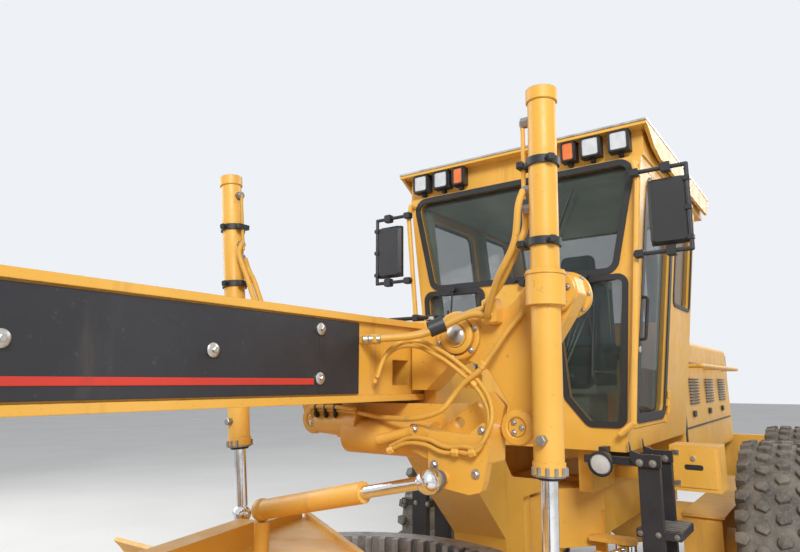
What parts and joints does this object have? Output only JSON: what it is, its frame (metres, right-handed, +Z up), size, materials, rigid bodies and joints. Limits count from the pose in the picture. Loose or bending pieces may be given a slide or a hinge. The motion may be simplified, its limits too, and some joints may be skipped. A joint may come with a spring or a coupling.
{
  "type": "motor grader",
  "caption": "Articulated six-wheel road grader with a turning blade under a gooseneck frame, tandem rear wheels and an enclosed cab.",
  "frame": {"origin": "on the ground under the middle of the length, on the centre plane", "axes": "+X forward, +Y to the left of the machine, +Z up"},
  "size_m": [9.22, 4.267, 3.334],
  "materials": {
    "yellow_paint": "semi-gloss, dusty and scuffed",
    "black_paint": "satin black",
    "chrome_rod": "polished cylinder rod",
    "bare_steel": "worn grey steel",
    "interior": "matt sage green",
    "tyre": "dusty rubber",
    "glass": "clear"
  },
  "bodies": {
    "front_frame": {"main_frame": "yellow_paint", "beam_covers": "black_paint", "push_block": "yellow_paint", "lift_saddle": "yellow_paint", "beam_hoses": "yellow_paint"},
    "rear_frame": {"rear_chassis": "yellow_paint", "hood": "yellow_paint", "radiator_grille": "black_paint", "exhaust_stack": "black_paint", "engine_block": "bare_steel", "toolbox": "yellow_paint", "handrails": "yellow_paint", "steps": "black_paint", "cab_shell": "yellow_paint", "cab_roof": "yellow_paint", "cab_glass": "glass", "operator_station": "interior", "lamps": "black_paint", "grab_tubes": "yellow_paint", "mirrors": "black_paint"},
    "door_left": {"door_left": "yellow_paint"},
    "door_right": {"door_right": "yellow_paint"},
    "artic_tube_left": {"artic_tube_left": "yellow_paint"},
    "artic_tube_right": {"artic_tube_right": "yellow_paint"},
    "artic_rod_left": {"artic_rod_left": "chrome_rod"},
    "artic_rod_right": {"artic_rod_right": "chrome_rod"},
    "tandem_left": {"tandem_left": "yellow_paint"},
    "tandem_right": {"tandem_right": "yellow_paint"},
    "wheel_front_left": {"wheel_front_left": "tyre"},
    "wheel_front_right": {"wheel_front_right": "tyre"},
    "wheel_mid_left": {"wheel_mid_left": "tyre"},
    "wheel_mid_right": {"wheel_mid_right": "tyre"},
    "wheel_rear_left": {"wheel_rear_left": "tyre"},
    "wheel_rear_right": {"wheel_rear_right": "tyre"},
    "front_axle": {"front_axle": "yellow_paint"},
    "lean_support_left": {"lean_support_left": "yellow_paint"},
    "lean_support_right": {"lean_support_right": "yellow_paint"},
    "lean_bar": {"lean_bar": "yellow_paint"},
    "lean_rod": {"lean_rod": "chrome_rod"},
    "knuckle_left": {"knuckle_left": "yellow_paint"},
    "knuckle_right": {"knuckle_right": "yellow_paint"},
    "tie_rod": {"tie_rod": "yellow_paint"},
    "steer_rod_left": {"steer_rod_left": "chrome_rod"},
    "steer_rod_right": {"steer_rod_right": "chrome_rod"},
    "drawbar_ball": {"drawbar_ball": "bare_steel"},
    "drawbar": {"drawbar": "yellow_paint"},
    "circle": {"circle": "bare_steel"},
    "blade_carrier": {"blade_carrier": "yellow_paint"},
    "moldboard": {"moldboard": "yellow_paint"},
    "tip_tube": {"tip_tube": "yellow_paint"},
    "tip_rod": {"tip_rod": "chrome_rod"},
    "lift_tube_left": {"lift_tube_left": "yellow_paint"},
    "lift_tube_right": {"lift_tube_right": "yellow_paint"},
    "lift_rod_left": {"lift_rod_left": "chrome_rod"},
    "lift_rod_right": {"lift_rod_right": "chrome_rod"},
    "shift_tube": {"shift_tube": "yellow_paint"},
    "shift_rod": {"shift_rod": "chrome_rod"}
  },
  "joints": [
    {"name": "articulation", "type": "hinge", "parent": "front_frame", "child": "rear_frame", "pos_m": [-0.25, 0, 1], "axis": [0, 0, 1], "range_deg": [-20, 20]},
    {"name": "artic_swing_left", "type": "hinge", "parent": "front_frame", "child": "artic_tube_left", "pos_m": [0.02, 0.29, 0.9], "axis": [0, 0, 1], "range_deg": [-15.87, 15.87]},
    {"name": "artic_stroke_left", "type": "slide", "parent": "artic_tube_left", "child": "artic_rod_left", "axis": [-0.9778, 0.2095, 0], "range_m": [-0.1223, 0.1223]},
    {"name": "artic_swing_right", "type": "hinge", "parent": "front_frame", "child": "artic_tube_right", "pos_m": [0.02, -0.29, 0.9], "axis": [0, 0, 1], "range_deg": [-15.87, 15.87]},
    {"name": "artic_stroke_right", "type": "slide", "parent": "artic_tube_right", "child": "artic_rod_right", "axis": [-0.9778, -0.2095, 0], "range_m": [-0.1223, 0.1223]},
    {"name": "tandem_swing_left", "type": "hinge", "parent": "rear_frame", "child": "tandem_left", "pos_m": [-2.68, 0.8, 0.745], "axis": [0, 1, 0], "range_deg": [-15, 25]},
    {"name": "spin_mid_left", "type": "hinge", "parent": "tandem_left", "child": "wheel_mid_left", "pos_m": [-1.852, 1.195, 0.745], "axis": [0, 1, 0], "continuous": true},
    {"name": "spin_rear_left", "type": "hinge", "parent": "tandem_left", "child": "wheel_rear_left", "pos_m": [-3.508, 1.195, 0.745], "axis": [0, 1, 0], "continuous": true},
    {"name": "tandem_swing_right", "type": "hinge", "parent": "rear_frame", "child": "tandem_right", "pos_m": [-2.68, -0.8, 0.745], "axis": [0, 1, 0], "range_deg": [-15, 25]},
    {"name": "spin_mid_right", "type": "hinge", "parent": "tandem_right", "child": "wheel_mid_right", "pos_m": [-1.852, -1.195, 0.745], "axis": [0, 1, 0], "continuous": true},
    {"name": "spin_rear_right", "type": "hinge", "parent": "tandem_right", "child": "wheel_rear_right", "pos_m": [-3.508, -1.195, 0.745], "axis": [0, 1, 0], "continuous": true},
    {"name": "axle_swing", "type": "hinge", "parent": "front_frame", "child": "front_axle", "pos_m": [3.77, 0, 0.8], "axis": [1, 0, 0], "range_deg": [-16, 16]},
    {"name": "wheel_lean", "type": "hinge", "parent": "front_axle", "child": "lean_support_left", "pos_m": [3.77, 0.8, 0.7], "axis": [1, 0, 0], "range_deg": [-18, 18]},
    {"name": "wheel_lean_right", "type": "hinge", "parent": "front_axle", "child": "lean_support_right", "pos_m": [3.77, -0.8, 0.7], "axis": [1, 0, 0], "range_deg": [-18.2, 18.2]},
    {"name": "lean_bar_swing", "type": "hinge", "parent": "lean_support_left", "child": "lean_bar", "pos_m": [3.77, 0.8, 0.975], "axis": [1, 0, 0], "range_deg": [-18.2, 18.2]},
    {"name": "lean_stroke", "type": "slide", "parent": "front_axle", "child": "lean_rod", "axis": [0, -0.9975, 0.0707], "range_m": [-0.087, 0.087]},
    {"name": "steering", "type": "hinge", "parent": "lean_support_left", "child": "knuckle_left", "pos_m": [3.77, 0.905, 0.745], "axis": [0, 0, 1], "range_deg": [-47.5, 47.5]},
    {"name": "steering_right", "type": "hinge", "parent": "lean_support_right", "child": "knuckle_right", "pos_m": [3.77, -0.905, 0.745], "axis": [0, 0, 1], "range_deg": [-47.7, 47.7]},
    {"name": "spin_front_left", "type": "hinge", "parent": "knuckle_left", "child": "wheel_front_left", "pos_m": [3.77, 1.195, 0.745], "axis": [0, 1, 0], "continuous": true},
    {"name": "spin_front_right", "type": "hinge", "parent": "knuckle_right", "child": "wheel_front_right", "pos_m": [3.77, -1.195, 0.745], "axis": [0, 1, 0], "continuous": true},
    {"name": "tie_rod_shift", "type": "slide", "parent": "front_axle", "child": "tie_rod", "axis": [0, 1, 0], "range_m": [-0.0866, 0.0866]},
    {"name": "steer_stroke_left", "type": "slide", "parent": "front_axle", "child": "steer_rod_left", "axis": [0, 1, 0], "range_m": [-0.1373, 0.1373]},
    {"name": "steer_stroke_right", "type": "slide", "parent": "front_axle", "child": "steer_rod_right", "axis": [0, 1, 0], "range_m": [-0.1373, 0.1373]},
    {"name": "drawbar_swing", "type": "hinge", "parent": "front_frame", "child": "drawbar_ball", "pos_m": [3.44, 0, 0.9], "axis": [0, 0, 1], "range_deg": [-5, 6]},
    {"name": "blade_lift", "type": "hinge", "parent": "drawbar_ball", "child": "drawbar", "pos_m": [3.44, 0, 0.9], "axis": [0.0167, 0.9999, 0], "range_deg": [-15, 4]},
    {"name": "circle_turn", "type": "hinge", "parent": "drawbar", "child": "circle", "pos_m": [1.20031, 0.03733, 1.11], "axis": [0, 0, 1], "range_deg": [-37, 37]},
    {"name": "blade_tip", "type": "hinge", "parent": "circle", "child": "blade_carrier", "pos_m": [0.59031, 0.03733, 0.47], "axis": [0, 1, 0], "range_deg": [-5, 40]},
    {"name": "blade_shift", "type": "slide", "parent": "blade_carrier", "child": "moldboard", "axis": [0, 1, 0], "range_m": [-0.66, 0.51]},
    {"name": "tip_swing", "type": "hinge", "parent": "circle", "child": "tip_tube", "pos_m": [0.46031, 0.03733, 1.015], "axis": [0, 1, 0], "range_deg": [-9.08, 1.31]},
    {"name": "tip_stroke", "type": "slide", "parent": "tip_tube", "child": "tip_rod", "axis": [-0.0412, 0, -0.9992], "range_m": [-0.091, 0.0131]},
    {"name": "lift_swing_left", "type": "hinge", "parent": "front_frame", "child": "lift_tube_left", "pos_m": [1.07, 0.8, 2.19], "axis": [1, 0, 0], "range_deg": [-15.86, 13.25]},
    {"name": "lift_stroke_left", "type": "slide", "parent": "lift_tube_left", "child": "lift_rod_left", "axis": [0.0141, -0.0138, -0.9998], "range_m": [-0.1722, 0.6401]},
    {"name": "lift_swing_right", "type": "hinge", "parent": "front_frame", "child": "lift_tube_right", "pos_m": [1.07, -0.8, 2.19], "axis": [1, 0, 0], "range_deg": [-15.87, 13.25]},
    {"name": "lift_stroke_right", "type": "slide", "parent": "lift_tube_right", "child": "lift_rod_right", "axis": [-0.0133, 0.1002, -0.9949], "range_m": [-0.1718, 0.6388]},
    {"name": "shift_swing", "type": "hinge", "parent": "drawbar", "child": "shift_tube", "pos_m": [1.18748, -0.43252, 1.349], "axis": [0.7924, -0.1412, 0.5935], "range_deg": [-4.6, 3.87]},
    {"name": "shift_stroke", "type": "slide", "parent": "shift_tube", "child": "shift_rod", "axis": [0.0088, 0.9754, 0.2203], "range_m": [-0.1971, 0.2361]},
    {"name": "door_left", "type": "hinge", "parent": "rear_frame", "child": "door_left", "pos_m": [-1.33, 0.62292, 1.49859], "axis": [0, 0.1084, 0.9941], "range_deg": [0, 95]},
    {"name": "door_right", "type": "hinge", "parent": "rear_frame", "child": "door_right", "pos_m": [-1.33, -0.62292, 1.49859], "axis": [0, -0.1084, 0.9941], "range_deg": [-95, 0]}
  ],
  "couplings": [
    {"joint": "artic_swing_left", "follows": "articulation", "ratio": 0.7681},
    {"joint": "artic_stroke_left", "follows": "articulation", "m_per_rad": 0.338},
    {"joint": "artic_swing_right", "follows": "articulation", "ratio": 0.7681},
    {"joint": "artic_stroke_right", "follows": "articulation", "m_per_rad": -0.338},
    {"joint": "wheel_lean_right", "follows": "wheel_lean", "ratio": 1},
    {"joint": "lean_bar_swing", "follows": "wheel_lean", "ratio": -1},
    {"joint": "lean_stroke", "follows": "wheel_lean", "m_per_rad": 0.2654},
    {"joint": "steering_right", "follows": "steering", "ratio": 1},
    {"joint": "tie_rod_shift", "follows": "steering", "m_per_rad": -0.1},
    {"joint": "steer_stroke_left", "follows": "steering", "m_per_rad": 0.16},
    {"joint": "steer_stroke_right", "follows": "steering", "m_per_rad": 0.16},
    {"joint": "tip_swing", "follows": "blade_tip", "ratio": -0.2177},
    {"joint": "tip_stroke", "follows": "blade_tip", "m_per_rad": -0.125},
    {"joint": "lift_swing_left", "follows": "drawbar_swing", "ratio": -2.5594},
    {"joint": "lift_stroke_left", "follows": "blade_lift", "m_per_rad": -2.3896},
    {"joint": "lift_swing_right", "follows": "drawbar_swing", "ratio": -2.5598},
    {"joint": "lift_stroke_right", "follows": "blade_lift", "m_per_rad": -2.3848},
    {"joint": "shift_swing", "follows": "drawbar_swing", "ratio": -0.719},
    {"joint": "shift_stroke", "follows": "drawbar_swing", "m_per_rad": 2.1915}
  ]
}
